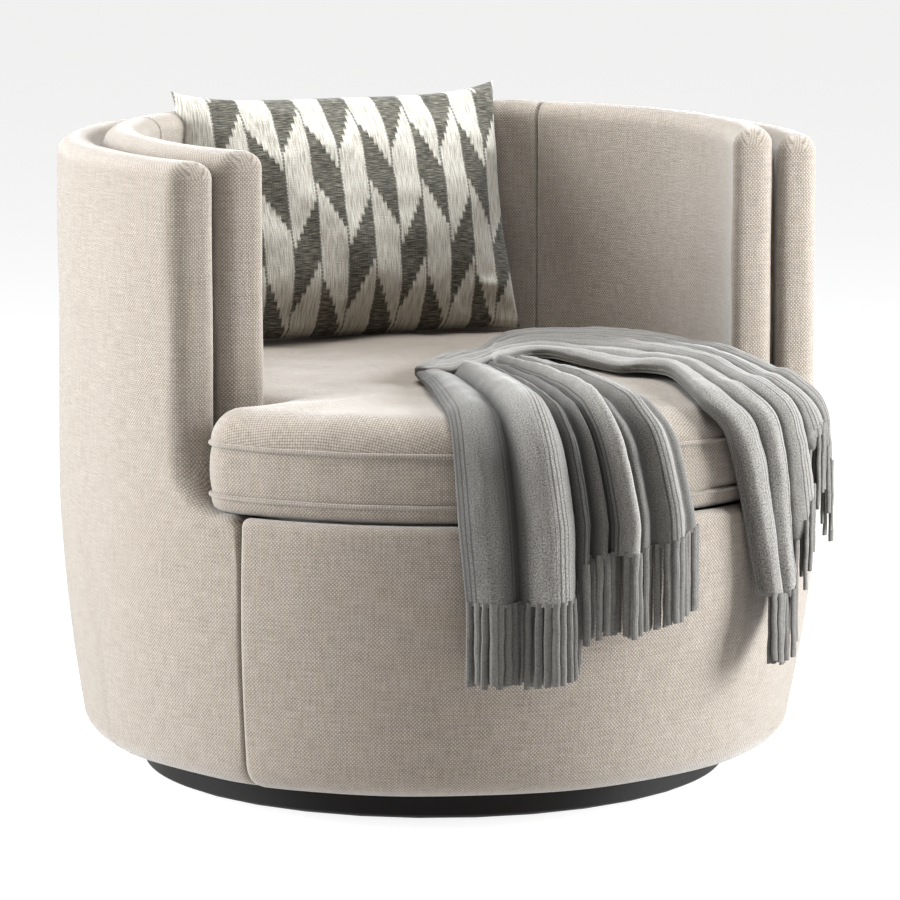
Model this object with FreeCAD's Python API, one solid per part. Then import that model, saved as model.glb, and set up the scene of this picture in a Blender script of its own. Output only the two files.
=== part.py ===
import FreeCAD
import Part
import math
import os
from FreeCAD import Vector as V

# Barrel swivel armchair: an upholstered drum on a round plinth, with a loose round-fronted
# seat cushion, a lumbar pillow and a fringed throw. The front faces -Y, the origin is on the
# swivel axis at floor level, and the sizes are in millimetres.

# Plan of the body: two half circles with their centres a little apart
body_radius = 432.0
stretch_front = 30.0
stretch_back = 10.0

# Heights of the pieces, from the floor up
ring_height = 3.0
plinth_thickness = 26.0
swivel_height = 12.0
skin_drop = 5.0
side_height = 304.0
ledge_height = 10.0
arm_height = 383.0
pad_rise = 10.0

# Lower side of the body: a gentle taper down to a rounded bottom edge
side_taper = 22.5
corner_height = 35.0
corner_width = 41.5
foot_stretch_share = 0.2
corner_degrees = (90, 58, 28)
taper_shares = (1.0, 0.66, 0.33)

# Arms and back: an outer wrap and an inner pad, with a board between them
wrap_thickness = 48.0
pad_thickness = 47.0
shell_board_thickness = 5.4
shell_board_cover = 29.0
shell_end_margin = 32.0
arm_end_share = 0.44
rim_rounding = 19.0
rim_degrees = (0, 45, 90)
arm_end_rounding = 18.0
pad_seam_degrees = 48.0
pad_seam_rounding = 3.0
soft_gap = 0.3

# Front panel and its two side seams
skin_thickness = 18.0
foot_skin_thickness = 38.0
lip_width = 36.0
panel_proud = 4.0
seam_x_share = 0.829
seam_y_share = 0.618
seam_degrees_from_side = 60.0

# Timber frame
bottom_board_thickness = 18.0
seat_ring_thickness = 18.0
seat_ring_width = 105.0
post_section = 38.0
post_count = 10
post_margin = 6.0
infill_thickness = 4.0
infill_gap = 0.2

# Seat suspension
webbing_width = 60.0
webbing_thickness = 2.0
webbing_count = 5
webbing_pitch = 100.0
webbing_end_gap = 4.0
deck_pad_thickness = 16.0
dust_cover_thickness = 1.0

# Plinth
plinth_radius = 340.0
plinth_chamfer = 2.0
ring_inset = 8.0
ring_width = 40.0
ring_sides = 32

# Ball-bearing swivel
swivel_plate_half = 110.0
swivel_plate_thickness = 5.0
swivel_corner_radius = 22.0
race_radius = 80.0
ball_radius = 4.0
ball_count = 16
ball_clearance = 0.05
screw_radius = 2.6
screw_head_radius = 5.5
screw_head_height = 3.0
screw_length = 15.0
screw_inset = 18.0
screw_sides = 6

# Seat cushion with its two welts
cushion_setback = 2.0
cushion_gap = 0.4
cushion_ear_share = 0.87
ear_front_rounding = 46.0
ear_back_rounding = 31.0
ear_inner_rounding = 8.0
foot_height = 19.7
foot_inset = 22.0
border_height = 57.0
border_draw = 3.0
shoulder_height = 37.0
shoulder_inset = 28.0
shoulder_shares = ((0.3, 0.72), (1.0, 1.0))
crown_height = 8.0
crown_margin = 4.0
crown_shares = ((1.0, 0.0), (0.72, 0.8), (0.3, 1.0))
welt_radius = 2.6
cushion_step_degrees = 7.5
crown_sides = 48
zip_half_degrees = 40.0
zip_height = 24.0
zip_depth = 1.2

# Lumbar pillow
pillow_width = 413.0
pillow_height = 300.0
pillow_thickness = 118.0
pillow_draw = 11.0
pillow_tilt_degrees = 16.0
pillow_foot_gap = 83.7
pillow_side_steps = 6
pillow_profile_shares = ((0.3, 1.0), (0.56, 0.9), (0.78, 0.66), (0.92, 0.36), (1.0, 0.03))

# Throw over the right front of the seat, in folds
throw_thickness = 15.0
fold_depth = 8.0
fold_half_width = 7.2
fold_lip = 2.0
fold_pitch_degrees = 3.6
main_start_degrees = -24.0
main_step_degrees = -5.8
main_end_degrees = 12.5
side_start_degrees = 20.5
side_step_degrees = 32.5
side_end_degrees = 58.0
long_hang = 169.0
short_hang = 121.0
side_hang = 185.0
outer_hang = 55.0
throw_reach_share = 0.45
fringe_length = 74.0
outer_fringe_length = 37.0
fringe_width = 8.0
fringe_thickness = 2.4
fringe_pitch_degrees = 1.4

# Reach of cuts past the faces that they cross
overrun = 60.0

# Levels and radii that several pieces share
plinth_top_z = ring_height + plinth_thickness
race_z = plinth_top_z + swivel_height / 2
bottom_board_z = plinth_top_z + swivel_height
bottom_board_top = bottom_board_z + bottom_board_thickness
underside_z = bottom_board_z - skin_drop
corner_z = underside_z + corner_height
straight_z = underside_z + side_height
deck_z = straight_z + ledge_height
wrap_rim_z = deck_z + arm_height
pad_rim_z = wrap_rim_z + pad_rise
seat_ring_top = deck_z - deck_pad_thickness - 2 * webbing_thickness
seat_ring_z = seat_ring_top - seat_ring_thickness
cavity_top_z = seat_ring_top + soft_gap

arm_end_y = -body_radius * arm_end_share
wrap_inner_radius = body_radius - wrap_thickness
shell_radius = wrap_inner_radius - soft_gap
pad_outer_radius = shell_radius - shell_board_thickness - soft_gap
pad_inner_radius = pad_outer_radius - pad_thickness
foot_radius = body_radius - side_taper
foot_front = stretch_front * foot_stretch_share
foot_back = stretch_back * (1 + foot_stretch_share) / 2
lip_radius = foot_radius - corner_width - lip_width
bottom_radius = foot_radius - foot_skin_thickness
reach = 2 * body_radius

parts = {}


def oval(radius, front, back, z):
    """Outline of the plan: two half circles and the short straights between them."""
    diagonal = radius * math.sqrt(0.5)

    def quarter(start, middle, end):
        points = [V(x, y, z) for x, y in (start, middle, end)]
        return Part.Arc(*points).toShape()

    edges = [quarter((0, -front - radius), (diagonal, -front - diagonal), (radius, -front)),
             Part.makeLine(V(radius, -front, z), V(radius, back, z)),
             quarter((radius, back), (diagonal, back + diagonal), (0, back + radius)),
             quarter((0, back + radius), (-diagonal, back + diagonal), (-radius, back)),
             Part.makeLine(V(-radius, back, z), V(-radius, -front, z)),
             quarter((-radius, -front), (-diagonal, -front - diagonal), (0, -front - radius))]
    return Part.Wire(edges)


def layered(wires):
    """Closed form with straight walls from each outline to the next one up."""
    return Part.makeLoft([wire.toNurbs() for wire in wires], True, True)


def faceted(rows):
    """Closed form of flat facets between rows of points, each row the outline of a level."""
    faces = [Part.Face(Part.makePolygon(row + row[:1])) for row in (rows[0], rows[-1])]
    for low, high in zip(rows, rows[1:]):
        for number in range(len(low)):
            corners = [low[number - 1], low[number], high[number], high[number - 1]]
            faces.append(Part.Face(Part.makePolygon(corners + corners[:1])))
    return Part.makeSolid(Part.makeShell(faces))


def wall_oval(radius, low, high):
    """Upright solid on the full plan, at one radius."""
    return Part.Face(oval(radius, stretch_front, stretch_back, low)).extrude(V(0, 0, high - low))


def block(x_low, x_high, y_low, y_high, z_low, z_high):
    """Box between two corners."""
    return Part.makeBox(x_high - x_low, y_high - y_low, z_high - z_low, V(x_low, y_low, z_low))


def ahead_of(y, low, high):
    """Everything in front of an upright plane across the chair."""
    return block(-reach, reach, -reach, y, low, high)


def prism(points, low, high):
    """Upright prism on a plan polygon."""
    wire = Part.makePolygon([V(x, y, low) for x, y in points + points[:1]])
    return Part.Face(wire).extrude(V(0, 0, high - low))


def wedge(half_degrees, y, low, high):
    """Upright wedge that opens to the back from a point on the centre line."""
    turn = math.radians(half_degrees)
    side = (reach * math.sin(turn), y + reach * math.cos(turn))
    return prism([(0, y), side, (-side[0], side[1])], low, high)


def corners_round(radius, sides, z, front=0, back=0):
    """Corners of a many-sided plan at a level; front and back part its two halves."""
    corners = []
    for number in range(sides):
        turn = 2 * math.pi * (number + 0.5) / sides
        part_y = back if math.sin(turn) > 0 else -front
        corners.append(V(radius * math.cos(turn), radius * math.sin(turn) + part_y, z))
    return corners


def drum(proud, high):
    """Body form: rounded bottom edge, tapered side and upright top, widened by an amount."""
    rows = []
    for degrees in corner_degrees:
        turn = math.radians(degrees)
        rows.append(oval(foot_radius + proud - corner_width * (1 - math.cos(turn)),
                         foot_front, foot_back, corner_z - corner_height * math.sin(turn)))
    for share in taper_shares:
        rows.append(oval(body_radius + proud - side_taper * share ** 2,
                         stretch_front + (foot_front - stretch_front) * share,
                         stretch_back + (foot_back - stretch_back) * share,
                         straight_z + (corner_z - straight_z) * share))
    rows.append(oval(body_radius + proud, stretch_front, stretch_back, straight_z))
    return layered(rows).fuse(wall_oval(body_radius + proud, straight_z, high))


def frame_form(gap, low, high):
    """Many-sided leaning form that the frame fills, drawn in by a gap, between two levels."""
    rows = []
    for z in (low, high):
        up = (z - bottom_board_z) / (seat_ring_top - bottom_board_z)
        radius = bottom_radius + (body_radius - skin_thickness - bottom_radius) * up
        front = foot_front + (stretch_front - foot_front) * up
        back = foot_back + (stretch_back - foot_back) * up
        rows.append(corners_round(radius - gap, 2 * post_count, z, front, back))
    return faceted(rows)


def around(radius, count, z, first_degrees=0.0):
    """Places evenly spaced round the swivel axis, each with its turn in degrees."""
    places = []
    for number in range(count):
        degrees = first_degrees + 360.0 * number / count
        turn = math.radians(degrees)
        places.append((V(radius * math.cos(turn), radius * math.sin(turn), z), degrees))
    return places


# Plinth: one turned board with a chamfered lower edge, on a felt ring that slides on the floor
plinth = Part.makeCylinder(plinth_radius, plinth_thickness, V(0, 0, ring_height))
foot_edges = [e for e in plinth.Edges if e.BoundBox.ZMax < ring_height + soft_gap]
plinth = plinth.makeChamfer(plinth_chamfer, foot_edges)
rings = []
for radius in (plinth_radius - ring_inset, plinth_radius - ring_inset - ring_width):
    rings.append(faceted([corners_round(radius, ring_sides, z) for z in (0, ring_height)]))
parts["floor_ring"] = rings[0].cut(rings[1])

# Swivel: two steel plates with a ball race between them
race_half_width = (ball_radius + ball_clearance) * math.sqrt(2)
race_depth = ball_radius + ball_clearance
race_floor = race_half_width - race_depth
race_section = [(-race_half_width, 0), (-race_floor, -race_depth), (race_floor, -race_depth),
                (race_half_width, 0), (race_floor, race_depth), (-race_floor, race_depth)]
race_points = [V(race_radius + x, 0, race_z + z) for x, z in race_section + race_section[:1]]
race = Part.Face(Part.makePolygon(race_points)).revolve(V(0, 0, 0), V(0, 0, 1), 360).toNurbs()


def swivel_plate(z):
    """Square plate with rounded corners and its half of the race."""
    half = swivel_plate_half
    plate = block(-half, half, -half, half, z, z + swivel_plate_thickness)
    corners = [e for e in plate.Edges if e.Length < half]
    return plate.makeFillet(swivel_corner_radius, corners).cut(race)


# The hidden balls are boxes whose edges are all cut to flats that lie on the ball's sphere
ball = block(-ball_radius, ball_radius, -ball_radius, ball_radius, -ball_radius, ball_radius)
ball = ball.makeChamfer(ball_radius * (2 - math.sqrt(2)), ball.Edges)
balls = []
for place, degrees in around(race_radius, ball_count, race_z):
    one = ball.copy()
    one.rotate(V(0, 0, 0), V(0, 0, 1), degrees)
    balls.append(one.translated(place))
parts["swivel_balls"] = Part.makeCompound(balls)

# Six-sided countersunk screws, flush with the plates
screw_rows = [(screw_radius, -screw_length), (screw_radius, -screw_head_height),
              (screw_head_radius, 0)]
down_screw = faceted([corners_round(radius, screw_sides, z) for radius, z in screw_rows])
up_screw = down_screw.mirror(V(0, 0, 0), V(0, 0, 1))
screw_out = swivel_plate_half - screw_inset


def four_screws(screw, z):
    """The screws near the four corners of a swivel plate."""
    places = [V(x * screw_out, y * screw_out, z) for x in (-1, 1) for y in (-1, 1)]
    return Part.makeCompound([screw.translated(place) for place in places])


upper_plate_z = bottom_board_z - swivel_plate_thickness
lower_screws = four_screws(down_screw, plinth_top_z + swivel_plate_thickness)
upper_screws = four_screws(up_screw, upper_plate_z)
parts["lower_plate_screws"] = lower_screws
parts["upper_plate_screws"] = upper_screws
parts["swivel_lower_plate"] = swivel_plate(plinth_top_z).cut(lower_screws)
parts["swivel_upper_plate"] = swivel_plate(upper_plate_z).cut(upper_screws)
parts["plinth"] = plinth.cut(lower_screws)

# Timber frame: bottom board, posts, seat ring and the boards that carry the cover
bottom_board = frame_form(soft_gap, bottom_board_z, bottom_board_top)
parts["bottom_board"] = bottom_board.cut(upper_screws)

post_radius = bottom_radius - post_margin - post_section / 2
half_post = post_section / 2
post = block(-half_post, half_post, -half_post, half_post, bottom_board_top, seat_ring_z)
posts = []
for place, degrees in around(post_radius, post_count, 0, 180.0 / post_count):
    one = post.copy()
    one.rotate(V(0, 0, 0), V(0, 0, 1), degrees)
    posts.append(one.translated(place))
parts["frame_posts"] = Part.makeCompound(posts)

seat_bore_radius = body_radius - skin_thickness - seat_ring_width
seat_bore = [corners_round(seat_bore_radius, 2 * post_count, z, stretch_front, stretch_back)
             for z in (seat_ring_z, seat_ring_top)]
parts["seat_ring"] = frame_form(soft_gap, seat_ring_z, seat_ring_top).cut(faceted(seat_bore))

# Flat infill boards close the frame from each post to the next
half_pitch = math.pi / post_count
infill_half = (post_radius * math.sin(half_pitch) - half_post / math.cos(half_pitch)
               - infill_thickness / 2 * math.tan(half_pitch) - infill_gap)
infill_middle = post_radius * math.cos(half_pitch)
infill = block(-infill_thickness / 2, infill_thickness / 2, -infill_half, infill_half,
               bottom_board_top, seat_ring_z)
boards = []
for place, degrees in around(infill_middle, post_count, 0):
    one = infill.copy()
    one.rotate(V(0, 0, 0), V(0, 0, 1), degrees)
    boards.append(one.translated(place))
parts["infill_boards"] = Part.makeCompound(boards)

shell_top = wrap_rim_z - shell_board_cover
shell_board = wall_oval(shell_radius, seat_ring_top, shell_top)
shell_board = shell_board.cut(wall_oval(shell_radius - shell_board_thickness, seat_ring_top, shell_top))
shell_end_y = arm_end_y + shell_end_margin
parts["back_shell_board"] = shell_board.cut(ahead_of(shell_end_y, seat_ring_top, shell_top))


def panel_sector(gap):
    """Upright wedge between the two seams of the front panel, narrowed by a gap."""
    lean = math.radians(seam_degrees_from_side)
    seam_y = -body_radius * seam_y_share
    near_x = body_radius * seam_x_share - gap / math.sin(lean)
    far = body_radius * math.cos(lean)
    down = body_radius * math.sin(lean)
    points = [(near_x - far / 2, seam_y + down / 2), (near_x + far, seam_y - down)]
    mirrored = [(-x, y) for x, y in points[::-1]]
    return prism(points + mirrored, 0, deck_z + overrun)


# Upholstered skins, turned under the bottom board and over the seat ring
lip_opening = faceted([corners_round(lip_radius, 2 * post_count, z) for z in (0, bottom_board_top)])
deck_opening = wall_oval(wrap_inner_radius, seat_ring_top, wrap_rim_z)
body_cavity = frame_form(0, bottom_board_z - soft_gap, cavity_top_z)


def lower_skin(proud):
    """Padded skin of the lower body."""
    return drum(proud, deck_z).cut(body_cavity).cut(lip_opening).cut(deck_opening)


def round_ends(blank, top_z):
    """Rounds the upright corners and the top corner of each arm end."""
    upright = []
    for edge in blank.Edges:
        box = edge.BoundBox
        at_end = box.YMax < arm_end_y + soft_gap and box.XLength < soft_gap
        if at_end and box.ZLength > arm_end_rounding:
            upright.append(edge)
    blank = blank.makeFillet(arm_end_rounding, upright)
    bar_y = arm_end_y + arm_end_rounding
    bar_z = top_z - arm_end_rounding
    corner = block(-reach, reach, arm_end_y - overrun, bar_y, bar_z, top_z + overrun)
    bar = Part.makeCylinder(arm_end_rounding, 2 * reach, V(-reach, bar_y, bar_z), V(1, 0, 0))
    return blank.cut(corner.cut(bar))


def rim_form(radius, side, low, top_z):
    """Upright oval with a rounded top edge; side is 1 for an outer wall, -1 for a bore."""
    rows = []
    for degrees in rim_degrees:
        turn = math.radians(degrees)
        rows.append(oval(radius - side * rim_rounding * (1 - math.cos(turn)), stretch_front,
                         stretch_back, top_z - rim_rounding + rim_rounding * math.sin(turn)))
    return wall_oval(radius, low, top_z - rim_rounding).fuse(layered(rows))


def padded_wall(outer_radius, inner_radius, low, top_z):
    """Arms and back in one curve, open at the front, with rounded rims and ends."""
    blank = wall_oval(outer_radius, low, top_z).cut(wall_oval(inner_radius, low, top_z))
    blank = blank.cut(ahead_of(arm_end_y, low - overrun, top_z + overrun))
    blank = round_ends(blank, top_z)
    return blank.common(rim_form(outer_radius, 1, low, top_z)).cut(rim_form(inner_radius, -1, low, top_z))


lower_wrap = lower_skin(0).cut(panel_sector(-soft_gap))
upper_wrap = padded_wall(body_radius, wrap_inner_radius, deck_z, wrap_rim_z)
parts["outer_wrap"] = lower_wrap.fuse(upper_wrap).removeSplitter()
parts["front_panel"] = lower_skin(panel_proud).common(panel_sector(soft_gap))

# Inner pads: one for each arm and one for the back, sewn together at two seams
pads = padded_wall(pad_outer_radius, pad_inner_radius, cavity_top_z, pad_rim_z)
back_wedge = wedge(pad_seam_degrees, stretch_back, cavity_top_z - overrun, pad_rim_z + overrun)
right_half = block(0, reach, -reach, reach, cavity_top_z, pad_rim_z)
left_half = block(-reach, 0, -reach, reach, cavity_top_z, pad_rim_z)


def soften_seam(pad):
    """Rounds the upright edges where a pad is sewn to its neighbour."""
    edges = []
    for edge in pad.Edges:
        box = edge.BoundBox
        from_centre = math.hypot(box.Center.x, box.Center.y - stretch_back)
        upright = box.XLength < soft_gap and box.YLength < soft_gap and box.ZLength > pad_thickness
        at_seam = box.Center.y > stretch_back + overrun
        if upright and at_seam and from_centre < pad_inner_radius + soft_gap:
            edges.append(edge)
    return pad.makeFillet(pad_seam_rounding, edges)


side_pads = pads.cut(back_wedge)
parts["inner_pad_back"] = soften_seam(pads.common(back_wedge))
parts["inner_pad_left"] = soften_seam(side_pads.common(left_half))
parts["inner_pad_right"] = soften_seam(side_pads.common(right_half))

# Seat suspension: elastic webbing stapled across the ring, and a padded deck over it
half_web = webbing_width / 2
web_reach = pad_inner_radius - webbing_end_gap
web_middle_y = (stretch_back - stretch_front) / 2
web_lengthwise = []
web_crosswise = []
for number in range(webbing_count):
    offset = (number - (webbing_count - 1) / 2) * webbing_pitch
    half = math.sqrt(web_reach ** 2 - (abs(offset) + half_web) ** 2)
    web_lengthwise.append(block(offset - half_web, offset + half_web, -half - stretch_front,
                                half + stretch_back, seat_ring_top,
                                seat_ring_top + webbing_thickness))
    web_y = web_middle_y + offset
    web_crosswise.append(block(-half, half, web_y - half_web, web_y + half_web,
                               seat_ring_top + webbing_thickness,
                               seat_ring_top + 2 * webbing_thickness))
parts["webbing_lengthwise"] = Part.makeCompound(web_lengthwise)
parts["webbing_crosswise"] = Part.makeCompound(web_crosswise)

deck_pad_z = deck_z - deck_pad_thickness
pad_well = wall_oval(wrap_inner_radius, deck_pad_z, deck_z)
pad_well = pad_well.cut(wall_oval(pad_inner_radius - soft_gap, deck_pad_z, deck_z))
pad_well = pad_well.cut(ahead_of(arm_end_y - soft_gap, deck_pad_z, deck_z))
parts["deck_pad"] = wall_oval(wrap_inner_radius - soft_gap, deck_pad_z, deck_z).cut(pad_well)

dust_z = bottom_board_z - dust_cover_thickness
dust_half = swivel_plate_half + soft_gap
dust_cover = faceted([corners_round(lip_radius - soft_gap, 2 * post_count, z)
                      for z in (dust_z, bottom_board_z)])
plate_window = block(-dust_half, dust_half, -dust_half, dust_half, dust_z, bottom_board_z)
parts["dust_cover"] = dust_cover.cut(plate_window)

# Seat cushion: fills the well between the pads and spreads in front of the arm ends
cushion_radius = body_radius - cushion_setback
cushion_inner_radius = pad_inner_radius - welt_radius - cushion_gap
cushion_front_y = arm_end_y - welt_radius - cushion_gap
cushion_ear_x = body_radius * cushion_ear_share
cushion_foot_z = deck_z + soft_gap
lower_seam_z = cushion_foot_z + foot_height
upper_seam_z = lower_seam_z + border_height
shoulder_z = upper_seam_z + shoulder_height
cushion_top_z = shoulder_z + crown_height


def cushion_plan(low, high):
    """Upright solid on the cushion's plan: rounded ears, eased where it meets the arm ends."""
    spread = wall_oval(cushion_radius, low, high)
    spread = spread.common(block(-cushion_ear_x, cushion_ear_x, -reach, cushion_front_y, low, high))
    plan = wall_oval(cushion_inner_radius, low, high).fuse(spread).removeSplitter()

    def corners(solid, at_ear, at_arm_end):
        found = []
        for edge in solid.Edges:
            box = edge.BoundBox
            on_ear = abs(abs(box.Center.x) - cushion_ear_x) < soft_gap
            on_end = abs(box.Center.y - cushion_front_y) < soft_gap
            if box.ZLength > soft_gap and on_ear == at_ear and on_end == at_arm_end:
                found.append(edge)
        return found

    plan = plan.makeFillet(ear_front_rounding, corners(plan, True, False))
    plan = plan.makeFillet(ear_back_rounding, corners(plan, True, True))
    inner = [e for e in corners(plan, False, True) if abs(e.BoundBox.Center.x) < cushion_inner_radius]
    return plan.makeFillet(ear_inner_rounding, inner)


cushion_prism = cushion_plan(lower_seam_z, upper_seam_z)
cushion_foot = [f for f in cushion_prism.Faces if f.BoundBox.ZMax < lower_seam_z + soft_gap][0]
cushion_outline = []
for edge in cushion_foot.OuterWire.OrderedEdges:
    steps = 1
    if edge.Curve.TypeId == "Part::GeomCircle":
        steps = math.ceil(math.degrees(edge.Length / edge.Curve.Radius) / cushion_step_degrees)
    ends = edge.discretize(steps + 1)
    start_first = ends[0].distanceToPoint(edge.firstVertex(True).Point) < soft_gap
    cushion_outline += ends[:-1] if start_first else ends[:0:-1]
apart = [corner.distanceToPoint(cushion_outline[number - 1]) > soft_gap
         for number, corner in enumerate(cushion_outline)]
cushion_outline = [corner for corner, keep in zip(cushion_outline, apart) if keep]


turned_area = 0
for number, corner in enumerate(cushion_outline):
    turned_area += cushion_outline[number - 1].cross(corner).z
turn_sign = math.copysign(1, turned_area)


def drawn_in(inset, z):
    """The cushion's outline with its sides moved in by an inset and lifted to a height."""
    row = []
    for number, corner in enumerate(cushion_outline):
        before = corner - cushion_outline[number - 1]
        after = cushion_outline[(number + 1) % len(cushion_outline)] - corner
        normals = [V(-side.y, side.x, 0).normalize() for side in (before, after)]
        step = (normals[0] + normals[1]) * (inset * turn_sign / (1 + normals[0].dot(normals[1])))
        row.append(V(corner.x + step.x, corner.y + step.y, z))
    return row


border_rows = [(foot_inset, cushion_foot_z), (0, lower_seam_z),
               (border_draw, lower_seam_z + border_height / 2), (0, upper_seam_z)]
shoulder_rows = []
for inset_share, rise_share in shoulder_shares:
    shoulder_rows.append((shoulder_inset * inset_share, upper_seam_z + shoulder_height * rise_share))
cushion = faceted([drawn_in(inset, z) for inset, z in border_rows + shoulder_rows])
crown_radius = cushion_inner_radius - shoulder_inset - crown_margin
crown = faceted([corners_round(crown_radius * size, crown_sides, shoulder_z + crown_height * rise,
                               stretch_front * size, stretch_back * size)
                 for size, rise in crown_shares])
cushion = cushion.fuse(crown)


def ring_between(outer_rows, inner_inset):
    """Band round the cushion from an upright inner side out to a profile."""
    core = [drawn_in(inner_inset, z) for z in (outer_rows[0][1], outer_rows[-1][1])]
    return faceted([drawn_in(inset, z) for inset, z in outer_rows]).cut(faceted(core))


def welt(seam_z):
    """Cord sewn into a seam, all round the cushion."""
    return ring_between([(0.0, seam_z - welt_radius), (-welt_radius, seam_z),
                         (0.0, seam_z + welt_radius)], 0.0)


parts["cushion_welt_upper"] = welt(upper_seam_z)
parts["cushion_welt_lower"] = welt(lower_seam_z)

zip_low = lower_seam_z + (border_height - zip_height) / 2
zip_high = zip_low + zip_height
zip_inset = border_draw - zip_depth
zip_band = ring_between([(zip_inset, zip_low), (zip_inset, zip_high)], border_draw + zip_depth)
zip_band = zip_band.common(wedge(zip_half_degrees, stretch_back, zip_low, zip_high))
parts["cushion_zip"] = zip_band
parts["seat_cushion"] = cushion.cut(zip_band)


def crown_z(x, y):
    """Height of the cushion's crown above a plan point near its back."""
    size = math.hypot(x, y - stretch_back) / crown_radius
    rows = sorted(crown_shares)
    for (size_low, rise_low), (size_high, rise_high) in zip(rows, rows[1:]):
        if size <= size_high:
            along = max(0.0, (size - size_low) / (size_high - size_low))
            return shoulder_z + crown_height * (rise_low + (rise_high - rise_low) * along)
    return shoulder_z


# Lumbar pillow: knife edges that draw in between pointed corners


def pillow_outline(size, offset):
    """Corners of four drawn-in sides at a distance from the pillow's middle plane."""
    half_w = pillow_width / 2 * size
    half_h = pillow_height / 2 * size
    corners = [(-half_w, -half_h), (half_w, -half_h), (half_w, half_h), (-half_w, half_h)]
    points = []
    for number in range(4):
        start = corners[number]
        end = corners[(number + 1) % 4]
        for step in range(pillow_side_steps):
            along = step / pillow_side_steps
            draw = pillow_draw * size * (1 - (2 * along - 1) ** 2)
            x = start[0] + (end[0] - start[0]) * along
            z = start[1] + (end[1] - start[1]) * along
            inward = ((0, 1), (-1, 0), (0, -1), (1, 0))[number]
            points.append(V(x + inward[0] * draw, offset, z + inward[1] * draw))
    return points


half_thick = pillow_thickness / 2
pillow_rows = [pillow_outline(size, -half_thick * depth) for size, depth in pillow_profile_shares]
pillow_rows += [pillow_outline(size, half_thick * depth) for size, depth in pillow_profile_shares[::-1]]
pillow = faceted(pillow_rows)
pillow.translate(V(0, 0, pillow_height / 2))
pillow.rotate(V(0, 0, 0), V(1, 0, 0), -pillow_tilt_degrees)
pad_behind_corners = stretch_back + math.sqrt(pad_inner_radius ** 2 - (pillow_width / 2) ** 2)
pillow.translate(V(0, pad_behind_corners - pillow_foot_gap, 0))
drops = [crown_z(vertex.X, vertex.Y) - vertex.Z for vertex in pillow.Vertexes]
pillow.translate(V(0, 0, max(drops) + soft_gap))
parts["pillow"] = pillow

# Throw: a gathered band across the seat with hanging ends of different lengths
hang_inner = max(body_radius + panel_proud, cushion_radius + welt_radius) + soft_gap
hang_outer = hang_inner + throw_thickness


def front_point(radius, degrees):
    """Plan point round the centre of the front half circle, in degrees from straight ahead."""
    turn = math.radians(degrees)
    return V(radius * math.sin(turn), -stretch_front - radius * math.cos(turn), 0)


def spun(profile, start, end):
    """Solid spun round the centre of the front half circle between two angles."""
    points = [V(0, -stretch_front - radius, z) for radius, z in profile]
    face = Part.Face(Part.makePolygon(points + points[:1]))
    face.rotate(V(0, -stretch_front, 0), V(0, 0, 1), start)
    return face.revolve(V(0, -stretch_front, 0), V(0, 0, 1), end - start)


def hanging_end(start, end, hang):
    """One end of the throw: over the cushion's edge and down in front of it, in folds."""
    hem_z = upper_seam_z - hang
    bend_z = upper_seam_z + welt_radius
    inner_line = [(hang_inner, hem_z), (hang_inner, bend_z)]
    outer_line = [(hang_outer, hem_z), (hang_outer, bend_z)]
    for inset, z in shoulder_rows:
        inner_line.append((hang_inner - inset, z + soft_gap))
        outer_line.append((hang_outer - inset, z + throw_thickness))
    seat_radius = body_radius * throw_reach_share
    inner_line.append((seat_radius, cushion_top_z + soft_gap))
    outer_line.append((seat_radius, cushion_top_z + throw_thickness))
    drop = spun(inner_line + outer_line[::-1], start, end)
    count = int((end - start) / fold_pitch_degrees)
    for number in range(count):
        degrees = start + (number + 0.5) * (end - start) / count
        half = fold_half_width
        valley = prism([(-half, -overrun), (half, -overrun), (half, -fold_lip),
                        (half / 2, fold_depth), (-half / 2, fold_depth), (-half, -fold_lip)],
                       hem_z, bend_z)
        valley.rotate(V(0, 0, 0), V(0, 0, 1), degrees)
        drop = drop.cut(valley.translated(front_point(hang_outer, degrees)))
    return drop


def plan_prism(shares, low, high):
    """Upright prism on plan points given as shares of the body's radius."""
    return prism([(x * body_radius, y * body_radius) for x, y in shares], low, high)


main_drop = hanging_end(main_start_degrees, main_step_degrees, long_hang)
middle_drop = hanging_end(main_step_degrees, main_end_degrees, short_hang)
side_drop = hanging_end(side_start_degrees, side_step_degrees, side_hang)
outer_drop = hanging_end(side_step_degrees, side_end_degrees, outer_hang)
fold_line_shares = [(-0.2, -0.32), (-0.06, -0.17), (0.1, -0.03), (0.24, 0.08), (0.37, 0.18),
                    (0.49, 0.22), (0.66, 0.18)]
band_end_shares = [(0.72, 0.0), (0.7, -0.3), (0.6, -0.5), (0.36, -0.56), (0.34, -0.6),
                   (0.3, -0.8), (-0.2, -0.8)]
keep_end_shares = [(0.76, 0.0), (0.76, -0.4), (1.3, -0.45), (1.3, -1.3), (-0.6, -1.3)]
band = plan_prism(fold_line_shares + band_end_shares, cushion_top_z + soft_gap,
                  cushion_top_z + throw_thickness)
keep = plan_prism(fold_line_shares + keep_end_shares, underside_z, wrap_rim_z)
throw = main_drop.fuse([middle_drop, side_drop, outer_drop, band]).common(keep)
parts["throw"] = throw.removeSplitter()

fringe = []


def fringe_row(start, end, hang, length):
    """Row of flat tassels below one stretch of the hem."""
    hem_z = upper_seam_z - hang
    half_width = fringe_width / 2
    tassel = block(-half_width, half_width, 0, fringe_thickness, hem_z - length, hem_z)
    count = int((end - start) / fringe_pitch_degrees)
    for number in range(count):
        degrees = start + (number + 0.5) * (end - start) / count
        one = tassel.copy()
        one.rotate(V(0, 0, 0), V(0, 0, 1), degrees)
        fringe.append(one.translated(front_point(hang_inner + fringe_thickness, degrees)))


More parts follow.
